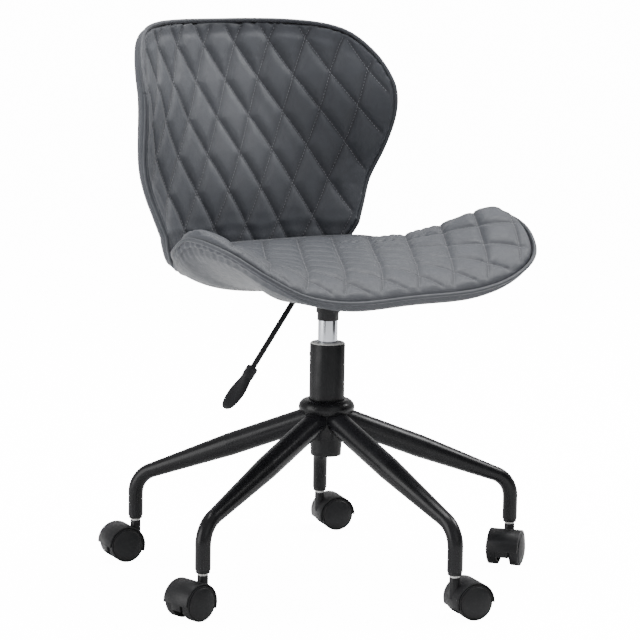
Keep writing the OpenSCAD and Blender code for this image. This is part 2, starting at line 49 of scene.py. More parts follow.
MM = 0.001
SCENE = bpy.context.scene

# --- Driving dimensions, in millimetres as in the CAD source ---

SEAT_STRIP = 14.0
SEAT_Z = 468.0
SEAT_UNDER_Z = 421.0
# Right half of the seat's edge: x, y, piping height, shoulder height, shoulder start, border depth.
SEAT_EDGE = [
    (0, -186, 430, 38, 0.5, SEAT_STRIP), (110, -185, 430, 38, 0.5, SEAT_STRIP),
    (188, -182, 444, 28, 0.62, SEAT_STRIP - 2), (241, -167, 471, 23, 0.74, SEAT_STRIP - 3),
    (272, -116, 502, 28, 0.8, SEAT_STRIP - 2), (284, -50, 514, 36, 0.83, SEAT_STRIP - 1),
    (272, 0, 493, 36, 0.82, SEAT_STRIP), (232, 52, 473, 22, 0.82, SEAT_STRIP + 2),
    (192, 100, 468, 9, 0.84, SEAT_STRIP + 8), (171, 138, 469, 4, 0.88, SEAT_STRIP + 16),
    (125, 169, 467, 3, 0.9, SEAT_STRIP + 20), (60, 184, 466, 3, 0.9, SEAT_STRIP + 20),
]
SEAT_EDGE_REAR = (0, 187, 466, 3, 0.9, SEAT_STRIP + 20)
# Right half of the back's edge: x and height.
BACK_TOP = 785.0
BACK_EDGE = [
    (0, BACK_TOP), (120, BACK_TOP - 1), (180, BACK_TOP - 12), (211, BACK_TOP - 42), (226.5, 702),
    (228.5, 652), (219, 598), (199, 548), (181, 502), (165, 466), (140, 440), (70, 432),
]
BACK_EDGE_LOW = (0, 432)
BACK_MID_Z = 615.0
BACK_MID_T = 32.0
BACK_EDGE_T = 13.0
PIPING_R = 3.0

QUILT_SEAT = (66.0, 88.0)      # width and length of a seat diamond along the leather
QUILT_BACK = (60.0, 105.0)     # width and height of a back diamond
QUILT_BACK_Z = 490.6           # height of a crossing on the centre line of the back
QUILT_BACK_X = 3.0             # how far the back's quilting is off centre
QUILT_TILT = 0.026             # slope of its rows
QUILT_SMILE = 0.00022          # and how much they curve up at the sides
# Half width, low end and high end of the area searched for quilting lines.
SEAT_SPAN = (290, -184, 186)
BACK_SPAN = (236, 436, 786)
STITCH_PITCH = 5.0
STITCH_LENGTH = 3.3
STITCH_R = 0.42


# --- Curves and surfaces, in millimetres ---

def both_sides(half, last):
    """The closed list of points of an outline from its right half and its last point."""
    mirrored = [(-p[0],) + tuple(p[1:]) for p in reversed(half[1:])]
    return np.array(list(half) + [last] + mirrored, float)


def catmull(points, s):
    """Catmull-Rom curve through the closed list of points at the positions s, from 0 to 1."""
    n = len(points)
    f = np.asarray(s, float) * n
    i = np.floor(f).astype(int)
    t = (f - i)[:, None]
    a, b, c, d = (points[(i + k) % n] for k in (-1, 0, 1, 2))
    square = (2 * a - 5 * b + 4 * c - d) * t ** 2
    cube = (3 * b - a - 3 * c + d) * t ** 3
    return 0.5 * (2 * b + (c - a) * t + square + cube)


def smooth01(t):
    t = np.clip(t, 0, 1)
    return t * t * (3 - 2 * t)


class Outline:
    """A closed outline round a centre, with what varies along it looked up by direction."""

    def __init__(self, points, centre, count=720):
        self.centre = np.array(centre, float)
        self.rim = catmull(points, np.arange(count) / count)
        d = self.rim[:, :2] - self.centre
        angle = np.unwrap(np.arctan2(d[:, 1], d[:, 0]))
        if angle[-1] < angle[0]:
            self.rim, d, angle = self.rim[::-1], d[::-1], angle[::-1]
        self.low = angle[0]
        self.angle = np.append(angle, angle[0] + 2 * math.pi)
        self.radius = np.linalg.norm(d, axis=1)
        self.table = np.column_stack([self.radius, self.rim[:, 2:]])
        self.table = np.vstack([self.table, self.table[:1]])

    def at(self, a, b):
        """Ratio from the centre (0) to the outline (1), and the outline's values in that direction."""
        u, v = a - self.centre[0], b - self.centre[1]
        direction = self.low + np.mod(np.arctan2(v, u) - self.low, 2 * math.pi)
        values = [np.interp(direction, self.angle, col) for col in self.table.T]
        return np.hypot(u, v) / values[0], values[1:]

    def radius_towards(self, direction):
        turned = self.low + np.mod(direction - self.low, 2 * math.pi)
        return np.interp(turned, self.angle, self.table[:, 0])


SEAT_OUT = Outline(both_sides(SEAT_EDGE, SEAT_EDGE_REAR), (0, 0))
BACK_OUT = Outline(both_sides(BACK_EDGE, BACK_EDGE_LOW), (0, BACK_MID_Z))


def seat_top(x, y):
    r, (z, h, start, strip) = SEAT_OUT.at(x, y)
    r = np.clip(r, 0, 1)
    fall = np.where(r <= start, 0, 1 - np.sqrt(np.clip(1 - ((r - start) / (1 - start)) ** 2, 0, 1)))
    return SEAT_Z + (z + h - SEAT_Z) * r ** 3.2 - h * fall


def seat_low(x, y):
    r, (z, h, start, strip) = SEAT_OUT.at(x, y)
    power = 5.5 - 2.1 * smooth01((z - 470) / 35)
    return SEAT_UNDER_Z + (z - strip - SEAT_UNDER_Z) * np.clip(r, 0, 1) ** power


def back_half(z):
    return 228 - 50 * np.clip((680 - z) / 190, 0, 1) ** 2


def back_wrap(z):
    return 48 + 66 * smooth01((z - 540) / 160)


def back_power(z):
    return 2.2 + 1.8 * np.clip((700 - z) / 160, 0, 1) ** 1.5


def back_line(z):
    return 190 + 42 * (1 - np.cos(np.radians(np.maximum(0, z - 490) / 2)))


def back_y(x, z):
    return back_line(z) - back_wrap(z) * (np.abs(x) / back_half(z)) ** back_power(z)


def back_normal(x, z):
    dx = back_y(x + 1, z) - back_y(x - 1, z)
    dz = back_y(x, z + 1) - back_y(x, z - 1)
    n = np.column_stack([-dx / 2, np.ones_like(dx), -dz / 2])
    return n / np.linalg.norm(n, axis=1)[:, None]


def back_thick(r):
    return BACK_MID_T + (BACK_EDGE_T - BACK_MID_T) * np.clip(r, 0, 1) ** 4


def back_point(x, z, depth):
    """The point at that depth behind the front face."""
    return np.column_stack([x, back_y(x, z), z]) + np.asarray(depth)[:, None] * back_normal(x, z)


def along(surface, x0, x1, fixed, steps=28):
    """Signed length along surface(x, fixed) from x0 to x1."""
    t = np.linspace(0, 1, steps + 1)[:, None]
    xs = x0 + (x1 - x0) * t
    zs = surface(xs, np.broadcast_to(fixed, xs.shape))
    return np.sign(x1 - x0) * np.hypot(np.diff(xs, axis=0), np.diff(zs, axis=0)).sum(0)


# --- Quilting: a lattice of diamonds, in lengths along the leather ---

SEAT_FRONT_V = along(lambda y, x: seat_top(x, y), np.zeros(1), np.full(1, -186.0), np.zeros(1))[0]


def seat_lattice(x, y):
    """Position in the lattice, in diamonds across and diamonds along."""
    s = along(seat_top, np.zeros_like(x), x, y)
    v = along(lambda b, a: seat_top(a, b), np.zeros_like(y), y, x)
    return s / QUILT_SEAT[0], (v - SEAT_FRONT_V) / QUILT_SEAT[1]


def back_lattice(x, z):
    s = along(back_y, np.zeros_like(x), x, z)
    s = (s - QUILT_BACK_X) * (1 + 0.05 * smooth01((z - 600) / 120))
    row = z - QUILT_BACK_Z - QUILT_TILT * x - QUILT_SMILE * x ** 2
    return s / QUILT_BACK[0], row / QUILT_BACK[1]


def line_distance(across, length, cell):
    """Distance in millimetres to the nearest line of each of the two families of quilting lines."""
    width = cell[0] * cell[1] / math.hypot(*cell)
    out = []
    for u in (across + length, across - length):
        out.append(np.abs(u - np.round(u)) * width)
    return out


# --- Meshes ---

def new_object(name, verts, faces, smooth=True):
    mesh = bpy.data.meshes.new(name)
    mesh.from_pydata([tuple(v) for v in verts], [], [tuple(f) for f in faces])
    mesh.validate()
    mesh.update()
    if smooth:
        mesh.polygons.foreach_set("use_smooth", np.ones(len(mesh.polygons), bool))
    obj = bpy.data.objects.new(name, mesh)
    SCENE.collection.objects.link(obj)
    return obj


def coords(obj):
    co = np.zeros(len(obj.data.vertices) * 3, np.float32)
    obj.data.vertices.foreach_get("co", co)
    return co.reshape(-1, 3).astype(float)


def set_coords(obj, co):
    obj.data.vertices.foreach_set("co", np.asarray(co, np.float32).ravel())
    obj.data.update()


def normals(obj):
    n = np.zeros(len(obj.data.vertices) * 3, np.float32)
    obj.data.vertices.foreach_get("normal", n)
    return n.reshape(-1, 3).astype(float)


def turned_out(name, verts, faces):
    """An object whose faces are all turned the same way, which is outwards on a closed shape."""
    obj = new_object(name, verts, faces)
    bm = bmesh.new()
    bm.from_mesh(obj.data)
    bmesh.ops.recalc_face_normals(bm, faces=bm.faces)
    bm.to_mesh(obj.data)
    bm.free()
    return obj


def apply_modifiers(obj):
    """Puts the evaluated mesh in place of the object's own, and removes its modifiers."""
    bpy.context.view_layer.update()
    evaluated = obj.evaluated_get(bpy.context.evaluated_depsgraph_get())
    mesh = bpy.data.meshes.new_from_object(evaluated)
    obj.modifiers.clear()
    obj.data = mesh
    mesh.polygons.foreach_set("use_smooth", np.ones(len(mesh.polygons), bool))


def mark(obj, name, values):
    """Stores one number per vertex, for the materials."""
    layer = obj.data.attributes.new(name, "FLOAT", "POINT")
    layer.data.foreach_set("value", np.asarray(values, np.float32))


def net_faces(rings, sides, first=0):
    """Quads of a net of rings round a shape, whose points are stored ring after ring."""
    faces = []
    for j in range(rings - 1):
        for k in range(sides):
            a = first + j * sides + k
            b = first + j * sides + (k + 1) % sides
            faces.append((a, b, b + sides, a + sides))
    return faces


def closed_pad(name, outline, front, rear, rings=44, sides=288):
    """A closed pad between two surfaces that share an outline, as an object in metres."""
    step = np.arange(sides) / sides * 2 * math.pi
    radius = outline.radius_towards(step)
    grid = [outline.centre[None, :]]
    for ratio in np.linspace(0, 1, rings + 1)[1:]:
        out = np.column_stack([radius * ratio * np.cos(step), radius * ratio * np.sin(step)])
        grid.append(outline.centre + out)
    grid = np.vstack(grid)
    half = len(grid)
    top = front(grid[:, 0], grid[:, 1])
    low = rear(grid[:, 0], grid[:, 1])
    faces = [(0, 1 + k, 1 + (k + 1) % sides) for k in range(sides)]
    faces += [(a, d, c, b) for a, b, c, d in net_faces(rings, sides, 1)]
    faces += [tuple(half + i for i in reversed(f)) for f in faces]
    last = 1 + (rings - 1) * sides
    for k in range(sides):
        a, b = last + k, last + (k + 1) % sides
        faces.append((a, half + a, half + b, b))
    return turned_out(name, np.vstack([top, low]) * MM, faces)


def swept_tube(name, path, radius, sides=12, wobble=0.0):
    """Round tube along a closed path, in metres; wobble varies its radius along the path."""
    path = np.asarray(path, float)
    t = np.roll(path, -1, 0) - np.roll(path, 1, 0)
    t /= np.linalg.norm(t, axis=1)[:, None]
    u = np.cross(t, np.array([0.13, 0.37, 0.92]))
    u /= np.linalg.norm(u, axis=1)[:, None]
    v = np.cross(t, u)
    length = np.cumsum(np.linalg.norm(np.roll(path, -1, 0) - path, axis=1))
    swell = 1 + wobble * np.sin(length / 0.011) * np.sin(length / 0.047)
    verts = []
    for k in range(sides):
        angle = 2 * math.pi * k / sides
        verts.append(path + (radius * swell)[:, None] * (math.cos(angle) * u + math.sin(angle) * v))
    verts = np.stack(verts, 1).reshape(-1, 3)
    n = len(path)
    faces = []
    for i in range(n):
        for k in range(sides):
            a, b = i * sides + k, i * sides + (k + 1) % sides
            c, d = ((i + 1) % n) * sides + k, ((i + 1) % n) * sides + (k + 1) % sides
            faces.append((a, c, d, b))
    return new_object(name, verts, faces)


# --- Padding by cloth simulation ---

def puff(obj, pinned, cap):
    """Blows the pad up with Cloth, held at the pinned vertices, and caps how far a point moves."""
    start = coords(obj)
    group = obj.vertex_groups.new(name="held")
    for i, weight in enumerate(pinned):
        if weight > 0.01:
            group.add([i], float(weight), "REPLACE")
    cloth = obj.modifiers.new("Cloth", "CLOTH")
    settings = cloth.settings
    settings.quality = 5
    settings.mass = 0.3
    settings.tension_stiffness = 12
    settings.compression_stiffness = 12
    settings.shear_stiffness = 5
    settings.bending_stiffness = 0.4
    settings.use_pressure = True
    settings.uniform_pressure_force = 5
    settings.vertex_group_mass = "held"
    settings.pin_stiffness = 1
    settings.effector_weights.gravity = 0
    cloth.point_cache.frame_start = 1
    cloth.point_cache.frame_end = 20
    for f in range(1, 21):
        SCENE.frame_set(f)
    apply_modifiers(obj)
    SCENE.frame_set(1)
    move = coords(obj) - start
    length = np.linalg.norm(move, axis=1)
    limit = cap * MM
    scale = np.where(length > 1e-9, limit * np.tanh(length / limit) / np.maximum(length, 1e-9), 0)
    set_coords(obj, start + move * scale[:, None])


def remesh(obj, size):
    mod = obj.modifiers.new("Remesh", "REMESH")
    mod.mode = "VOXEL"
    mod.voxel_size = size * MM
    apply_modifiers(obj)


def subdivide(obj):
    mod = obj.modifiers.new("Subdivision", "SUBSURF")
    mod.levels = 1
    mod.render_levels = 1
    apply_modifiers(obj)


def relax(values, obj):
    """Moves each vertex's value halfway to the average of its neighbours."""
    edges = np.zeros(len(obj.data.edges) * 2, np.int32)
    obj.data.edges.foreach_get("vertices", edges)
    a, b = edges.reshape(-1, 2).T
    count = np.bincount(a, minlength=len(values)) + np.bincount(b, minlength=len(values))
    total = np.zeros_like(values)
    np.add.at(total, a, values[b])
    np.add.at(total, b, values[a])
    return 0.5 * values + 0.5 * total / np.maximum(count, 1)


# --- Materials ---

class Nodes:
    """Short names for building one node material."""

    def __init__(self, name):
        self.material = bpy.data.materials.new(name)
        self.material.use_nodes = True
        self.tree = self.material.node_tree
        self.shader = self.tree.nodes["Principled BSDF"]
        coord = self.tree.nodes.new("ShaderNodeTexCoord")
        self.place = coord.outputs["Object"]

    def link(self, a, b):
        self.tree.links.new(a, b)

    def node(self, kind, inputs=None, **settings):
        made = self.tree.nodes.new(kind)
        for key, value in settings.items():
            setattr(made, key, value)
        for key, value in (inputs or {}).items():
            if isinstance(value, bpy.types.NodeSocket):
                self.link(value, made.inputs[key])
            else:
                made.inputs[key].default_value = value
        return made

    def set(self, **values):
        for key, value in values.items():
            self.shader.inputs[key.replace("_", " ")].default_value = value

    def noise(self, scale, detail=3.0, rough=0.5, place=None, distortion=0.0):
        return self.node("ShaderNodeTexNoise", {
            "Vector": place or self.place, "Scale": scale, "Detail": detail, "Roughness": rough,
            "Distortion": distortion}).outputs["Fac"]

    def stretched(self, scale, rotation=(0, 0, 0)):
        return self.node("ShaderNodeMapping", {
            "Vector": self.place, "Scale": scale, "Rotation": rotation}).outputs["Vector"]

    def ramp(self, value, stops):
        made = self.node("ShaderNodeValToRGB", {"Fac": value})
        ramp = made.color_ramp
        while len(ramp.elements) < len(stops):
            ramp.elements.new(0.5)
        for element, (position, colour) in zip(ramp.elements, stops):
            element.position = position
            element.color = tuple(colour) + (1,)
        return made.outputs["Color"]

    def remap(self, value, low, high, a=0.0, b=1.0):
        return self.node("ShaderNodeMapRange", {
            "Value": value, "From Min": a, "From Max": b, "To Min": low, "To Max": high}).outputs["Result"]

    def math(self, kind, a, b):
        return self.node("ShaderNodeMath", {0: a, 1: b}, operation=kind).outputs[0]

    def mix(self, factor, a, b):
        made = self.node("ShaderNodeMix", data_type="RGBA")
        for socket, value in (("Factor_Float", factor), ("A_Color", a), ("B_Color", b)):
            target = next(s for s in made.inputs if s.identifier == socket)
            if isinstance(value, bpy.types.NodeSocket):
                self.link(value, target)
            elif isinstance(value, tuple):
                target.default_value = value + (1,)
            else:
                target.default_value = value
        return next(s for s in made.outputs if s.identifier == "Result_Color")

    def attribute(self, name):
        return self.node("ShaderNodeAttribute", attribute_name=name).outputs["Fac"]

    def bump(self, height, strength, distance, under=None):
        inputs = {"Height": height, "Strength": strength, "Distance": distance}
        if under is not None:
            inputs["Normal"] = under
        return self.node("ShaderNodeBump", inputs).outputs["Normal"]

    def finish(self, colour=None, roughness=None, normal=None):
        for key, value in (("Base Color", colour), ("Roughness", roughness), ("Normal", normal)):
            if value is not None:
                self.link(value, self.shader.inputs[key])
        return self.material


def scaled(colour, k):
    return tuple(min(1.0, c * k) for c in colour)


def leather(name, colour, quilted):
    """Coated leather with a fine cell grain; where quilted, painted shade darkens the grooves, which are also
    duller, and a painted highlight lightens the crowns between them.
    """
    m = Nodes(name)
    tone = m.noise(26, 3)
    base = m.ramp(tone, [(0.3, scaled(colour, 0.93)), (0.7, scaled(colour, 1.07))])
    fleck = m.noise(1500, 1)
    base = m.mix(m.remap(fleck, 0, 0.16, 0.4, 0.75), base, scaled(colour, 1.22))
    cell = m.node("ShaderNodeTexVoronoi", {"Vector": m.place, "Scale": 820, "Randomness": 0.9})
    crack = m.node("ShaderNodeTexVoronoi", {"Vector": m.place, "Scale": 820, "Randomness": 0.9},
                   feature="DISTANCE_TO_EDGE")
    base = m.mix(m.remap(crack.outputs["Distance"], 0.22, 0, 0, 0.12), base, scaled(colour, 0.7))
    rough = m.remap(m.noise(140, 4), 0.40, 0.54, 0.3, 0.7)
    if quilted:
        groove = m.attribute("groove")
        # Painted shade: the quilting lines are darkened towards half the leather's colour.
        base = m.mix(m.remap(groove, 0, 0.42), base, scaled(colour, 0.5))
        crown_highlight = m.attribute("crown_highlight")
        # Painted highlight: the crowns between the lines are lightened to one and a half times the leather's
        # colour.
        base = m.mix(m.remap(crown_highlight, 0, 0.14), base, scaled(colour, 1.5))
        rough = m.math("ADD", rough, m.remap(groove, 0, 0.12))
    height = m.math("SUBTRACT", m.remap(crack.outputs["Distance"], 0, 1, 0, 0.2), cell.outputs["Distance"])
    grain = m.bump(height, 0.32, 0.0003)
    creases = m.bump(m.noise(90, 5, 0.6, distortion=0.6), 0.16, 0.0011, grain)
    m.set(Specular_IOR_Level=0.45, Sheen_Weight=0.12, Sheen_Roughness=0.5)
    return m.finish(base, rough, creases)


def thread(name, colour):
    """Twisted sewing thread."""
    m = Nodes(name)
    slanted = m.stretched((1, 1, 1), (0.6, 0.5, 0.4))
    twist = m.node("ShaderNodeTexWave", {"Vector": slanted, "Scale": 900, "Distortion": 1.5})
    base = m.ramp(twist.outputs["Fac"], [(0.2, scaled(colour, 0.7)), (0.8, scaled(colour, 1.15))])
    m.set(Sheen_Weight=0.3)
    return m.finish(base, m.remap(m.noise(400, 2), 0.6, 0.8), m.bump(twist.outputs["Fac"], 0.5, 0.0002))


def coated_steel(name, colour, rough, peel):
    """Powder coat or paint: orange peel, a few dull patches, and paler colour on sharp outward edges."""
    m = Nodes(name)
    base = m.ramp(m.noise(40, 4), [(0.3, scaled(colour, 0.85)), (0.7, scaled(colour, 1.25))])
    speck = m.noise(2600, 1)
    base = m.mix(m.remap(speck, 0, 0.3, 0.62, 0.8), base, scaled(colour, 3.0))
    edge = m.node("ShaderNodeNewGeometry").outputs["Pointiness"]
    # Paler colour on sharp outward edges, where the mesh's pointiness is high.
    base = m.mix(m.remap(edge, 0, 0.35, 0.54, 0.62), base, scaled(colour, 6.0))
    m.set(Specular_IOR_Level=0.22)
    roughness = m.remap(m.noise(70, 5, 0.6), rough - 0.05, rough + 0.07, 0.3, 0.7)
    return m.finish(base, roughness, m.bump(m.noise(620, 2), peel, 0.00025))


def metal(name, colour, rough, brushed=(1, 1, 1), strength=0.06):
    """Bare or plated metal, with fine lines along the direction that brushed scales least, and smudges."""
    m = Nodes(name)
    lines = m.noise(700, 3, place=m.stretched(brushed))
    smudge = m.noise(60, 4, 0.6)
    base = m.ramp(lines, [(0.3, scaled(colour, 0.93)), (0.7, scaled(colour, 1.04))])
    m.set(Metallic=1.0)
    roughness = m.remap(smudge, rough * 0.8, rough * 1.5, 0.35, 0.7)
    return m.finish(base, roughness, m.bump(lines, strength, 0.0001))


def plastic(name, colour, rough, texture=0.25, edge_paleness=0.25):
    """Moulded plastic with a fine spark texture, flow marks and paler colour on sharp outward edges."""
    m = Nodes(name)
    flow = m.noise(34, 4, 0.6, distortion=0.5)
    base = m.ramp(flow, [(0.3, scaled(colour, 0.9)), (0.7, scaled(colour, 1.15))])
    edge = m.node("ShaderNodeNewGeometry").outputs["Pointiness"]
    # Paler colour on sharp outward edges, where the mesh's pointiness is high; the last argument sets how far.
    base = m.mix(m.remap(edge, 0, edge_paleness, 0.53, 0.62), base, scaled(colour, 3.2))
    spark = m.noise(2200, 2)
    m.set(Specular_IOR_Level=0.22)
    roughness = m.remap(m.noise(120, 4), rough - 0.06, rough + 0.08, 0.3, 0.7)
    return m.finish(base, roughness, m.bump(spark, texture, 0.00018))


def plywood(name):
    m = Nodes(name)
    grain = m.noise(16, 6, 0.6, place=m.stretched((1, 9, 9)), distortion=0.8)
    dark, middle, pale = (0.30, 0.18, 0.085), (0.46, 0.31, 0.165), (0.56, 0.40, 0.235)
    base = m.ramp(grain, [(0.3, dark), (0.5, middle), (0.72, pale)])
    return m.finish(base, m.remap(grain, 0.55, 0.72), m.bump(grain, 0.3, 0.0004))


GREY = (0.0455, 0.050, 0.0605)
MATERIALS = {
    "quilted": leather("quilted_leather", GREY, True),
    "grey_leather": leather("plain_leather", GREY, False),
    # The piping is the same leather as the cover, painted a tenth darker as shade.
    "piping": leather("piping_leather_painted_shade", scaled(GREY, 0.9), False),
    "thread": thread("seam_thread", (0.22, 0.225, 0.245)),
    "gloss_black_steel": coated_steel("gloss_powder_coat", (0.007, 0.007, 0.008), 0.26, 0.05),
    "satin_black_steel": coated_steel("satin_powder_coat", (0.010, 0.010, 0.011), 0.42, 0.16),
    "pale_plastic": plastic("pale_nylon", (0.62, 0.62, 0.60), 0.42, 0.2, 0.1),
    "steel": metal("plain_steel", (0.50, 0.50, 0.52), 0.3, (1, 1, 12)),
    "chrome": metal("polished_chrome", (0.60, 0.62, 0.66), 0.10, (1, 1, 20), 0.02),
    "rubber": plastic("black_rubber", (0.02, 0.02, 0.02), 0.75, 0.4),
    "brass": metal("brass", (0.70, 0.50, 0.22), 0.25),
    "plywood": plywood("moulded_plywood"),
    "black_plastic": plastic("black_nylon", (0.010, 0.010, 0.011), 0.40),
    "handle_plastic": plastic("handle_plastic", (0.016, 0.016, 0.018), 0.48, 0.35),
}


def paint(obj, material):
    """Gives the object one material."""
    obj.data.materials.clear()
    obj.data.materials.append(MATERIALS[material])


for part in frame["record"]["subparts"]:
    paint(frame["nodes"][part["node"]], part["material_slot"])


# --- Upholstery ---

def pad_ratio(outline, a, b):
    return outline.at(a, b)[0]


SINK = 3.0            # the pads start this far below the finished surface, and the cloth fills it
TUCK = 0.992          # and this much smaller in outline, inside the piping
LINING = 3.0          # their rear keeps this far inside the cover
BOARD_ROOM = 8.6      # and this much more over the plywood board
BOARD_REACH = 0.93    # which ends at this part of the way to the outline
BACK_MIDDLE = np.array([0, 0, BACK_MID_Z])


def rear_gap(ratio):
    return LINING + BOARD_ROOM * smooth01((BOARD_REACH - ratio) / 0.02)


def seat_front_net(x, y):
    r = pad_ratio(SEAT_OUT, x, y)
    return np.column_stack([x * TUCK, y * TUCK, seat_top(x, y) - SINK * smooth01((1 - r) / 0.1)])


def seat_rear_net(x, y):
    r = pad_ratio(SEAT_OUT, x, y)
    return np.column_stack([x * TUCK, y * TUCK, seat_low(x, y) + rear_gap(r)])


def back_front_net(x, z):
    r = pad_ratio(BACK_OUT, x, z)
    point = back_point(x, z, SINK * smooth01((1 - r) / 0.1))
    return BACK_MIDDLE + (point - BACK_MIDDLE) * [TUCK, 1, TUCK]


def back_rear_net(x, z):
    r = pad_ratio(BACK_OUT, x, z)
    point = back_point(x, z, back_thick(r) - rear_gap(r))
    return BACK_MIDDLE + (point - BACK_MIDDLE) * [TUCK, 1, TUCK]


def quilt_pad(obj, front_gap, flat, lattice, outline, cell, voxel, cap, groove, pillow, fold):
    """Remeshes and blows up a pad between its quilting lines, then presses the lines in.

    front_gap gives how far a point is behind the pad's front face, flat its two outline coordinates,
    lattice its position in the quilting, whose diamonds have the size cell, voxel the size of the
    remesh, cap how far the cloth may swell, groove the depth of the lines, pillow the height of the
    stuffing between them, and fold an extra displacement of the finished face, all in millimetres."""
    remesh(obj, voxel)

    def place(co):
        a, b = flat(co)
        ratio = pad_ratio(outline, a, b)
        face = (front_gap(co) < 5) & (ratio < 0.995)
        lines = line_distance(*lattice(a, b), cell)
        return a, b, ratio, face, lines

    # The lines, the rim and everything but the front face are held while the rest swells.
    _, _, ratio, face, lines = place(coords(obj) / MM)
    near = np.minimum(*lines)
    held = np.where(near < 2.6, 1.0, np.where(near < 4.2, 0.35, 0.0))
    held = np.maximum(held, smooth01((ratio - 0.95) / 0.03))
    held[~face] = 1.0
    puff(obj, held, cap)
    subdivide(obj)
    co = coords(obj) / MM
    a, b, ratio, face, lines = place(co)
    inner = smooth01((0.985 - ratio) / 0.03) * face
    press = sum(np.exp(-(d / 2.4) ** 2) for d in lines)
    shallow = sum(np.exp(-(d / 7.0) ** 2) for d in lines)
    depth = groove * np.minimum(press, 1.25) + 0.5 * groove * np.minimum(shallow, 1.3)
    rise = pillow + 0
    stuffing = rise * smooth01(np.minimum(*lines) / 15) * smooth01((0.95 - ratio) / 0.1)
    move = (stuffing - depth + fold(a, b)) * inner
    move = relax(move, obj)
    set_coords(obj, (co + normals(obj) * move[:, None]) * MM)
    # The groove mask carries the painted shade of the quilting lines into the leather.
    mark(obj, "groove", np.clip(press, 0, 1) * inner)
    # The crown mask places the painted highlight on the tops of the diamonds.
    mark(obj, "crown_highlight", smooth01((np.minimum(*lines) - 9) / 12) * inner)


def seat_fold(x, y):
    """Small gathers where the leather turns up at the waist and into the wings."""
    side = np.abs(x)
    waist = np.exp(-((side - 165) / 75) ** 2 - ((y - 66) / 52) ** 2)
    run = y * 0.95 - side * 0.27
    gathers = np.abs(np.sin(run / 3.7 + 0.6 * np.sin(side / 23.0))) ** 0.7 - 0.6
    wing = np.exp(-((side - 215) / 40) ** 2 - ((y + 20) / 60) ** 2)
    ripple = np.sin((y + side * 0.25) / 4.3 + 0.6 * np.sin(side / 17.0))
    return 4.2 * waist * gathers + 0.5 * wing * ripple


def back_fold(x, z):
    """Faint cross wrinkles at the foot of the back, where it bends round."""
    low = np.exp(-((z - 478) / 26) ** 2)
    return 0.35 * low * np.sin(z / 3.1 + 0.9 * np.sin(x / 19.0))


seat_quilt = closed_pad("seat_quilt", SEAT_OUT, seat_front_net, seat_rear_net)
quilt_pad(seat_quilt,
          front_gap=lambda co: seat_top(co[:, 0], co[:, 1]) - co[:, 2],
          flat=lambda co: (co[:, 0], co[:, 1]), lattice=seat_lattice, outline=SEAT_OUT, cell=QUILT_SEAT,
          voxel=4.6, cap=3.5, groove=2.3, pillow=1.8, fold=seat_fold)
back_quilt = closed_pad("back_quilt", BACK_OUT, back_front_net, back_rear_net)
quilt_pad(back_quilt,
          front_gap=lambda co: co[:, 1] - back_y(co[:, 0], co[:, 2]),
          flat=lambda co: (co[:, 0], co[:, 2]), lattice=back_lattice, outline=BACK_OUT, cell=QUILT_BACK,
          voxel=4.4, cap=3.4, groove=1.9, pillow=1.3, fold=back_fold)


def lattice_paths(lattice, outline, span):
    """The quilting lines as lists of points in outline coordinates, a millimetre or two apart."""
    reach, low, high = span
    bs = np.arange(low, high, 1.5)
    xs = np.arange(-reach, reach, 1.5)
    grid_a, grid_b = np.meshgrid(xs, bs)
    across, length = lattice(grid_a.ravel(), grid_b.ravel())
    paths = []
    for sign in (1, -1):
        u = (across + sign * length).reshape(grid_a.shape)
        for n in range(math.ceil(u.min()), math.floor(u.max()) + 1):
            a = np.array([np.interp(n, row, xs, np.nan, np.nan) for row in u])
            ratio = np.where(np.isnan(a), 9, pad_ratio(outline, np.nan_to_num(a), bs))
            keep = ratio < 0.972
            if keep.sum() > 8:
                paths.append(np.column_stack([a[keep], bs[keep]]))
    return paths


def stitches(name, pad, paths, ray):
    """Short raised stitches of thread along the paths, laid on the pad's finished face."""
    bpy.context.view_layer.update()
    tree = BVHTree.FromObject(pad, bpy.context.evaluated_depsgraph_get())
    sides, verts, faces = 6, [], []
    # Place along a stitch, thickness and height of its middle: its two ends dip into the leather.
    shape = [(-0.5, 0.05, -0.5), (-0.36, 0.75, 0.15), (0.0, 1.0, 0.45), (0.36, 0.75, 0.15),
             (0.5, 0.05, -0.5)]
    for path in paths:
        hits = []
        for a, b in path:
            origin, direction = ray(a, b)
            hit, normal, _, _ = tree.ray_cast(origin, direction)
            if hit is not None:
                hits.append((np.array(hit), np.array(normal)))
        if len(hits) < 6:
            continue
        points = np.array([h[0] for h in hits])
        way = np.array([h[1] for h in hits])
        gaps = np.linalg.norm(np.diff(points, axis=0), axis=1)
        length = np.concatenate([[0], np.cumsum(gaps)]) / MM
        for s in np.arange(STITCH_PITCH, length[-1] - STITCH_PITCH / 2, STITCH_PITCH):
            ends = [np.array([np.interp(s + d, length, col) for col in points.T]) for d in (-1.2, 0, 1.2)]
            up = np.array([np.interp(s, length, col) for col in way.T])
            t = ends[2] - ends[0]
            t /= np.linalg.norm(t)
            up -= t * (up @ t)
            up /= np.linalg.norm(up)
            side = np.cross(t, up)
            first = len(verts)
            for x, r, lift in shape:
                c = ends[1] + t * x * STITCH_LENGTH * MM + up * lift * STITCH_R * MM
                for k in range(sides):
                    angle = 2 * math.pi * k / sides
                    verts.append(c + r * STITCH_R * MM * (math.cos(angle) * side + math.sin(angle) * up))
            faces += net_faces(len(shape), sides, first)
            faces.append(tuple(first + k for k in reversed(range(sides))))
            faces.append(tuple(first + (len(shape) - 1) * sides + k for k in range(sides)))
    obj = new_object(name, verts, faces)
    paint(obj, "thread")
    return obj


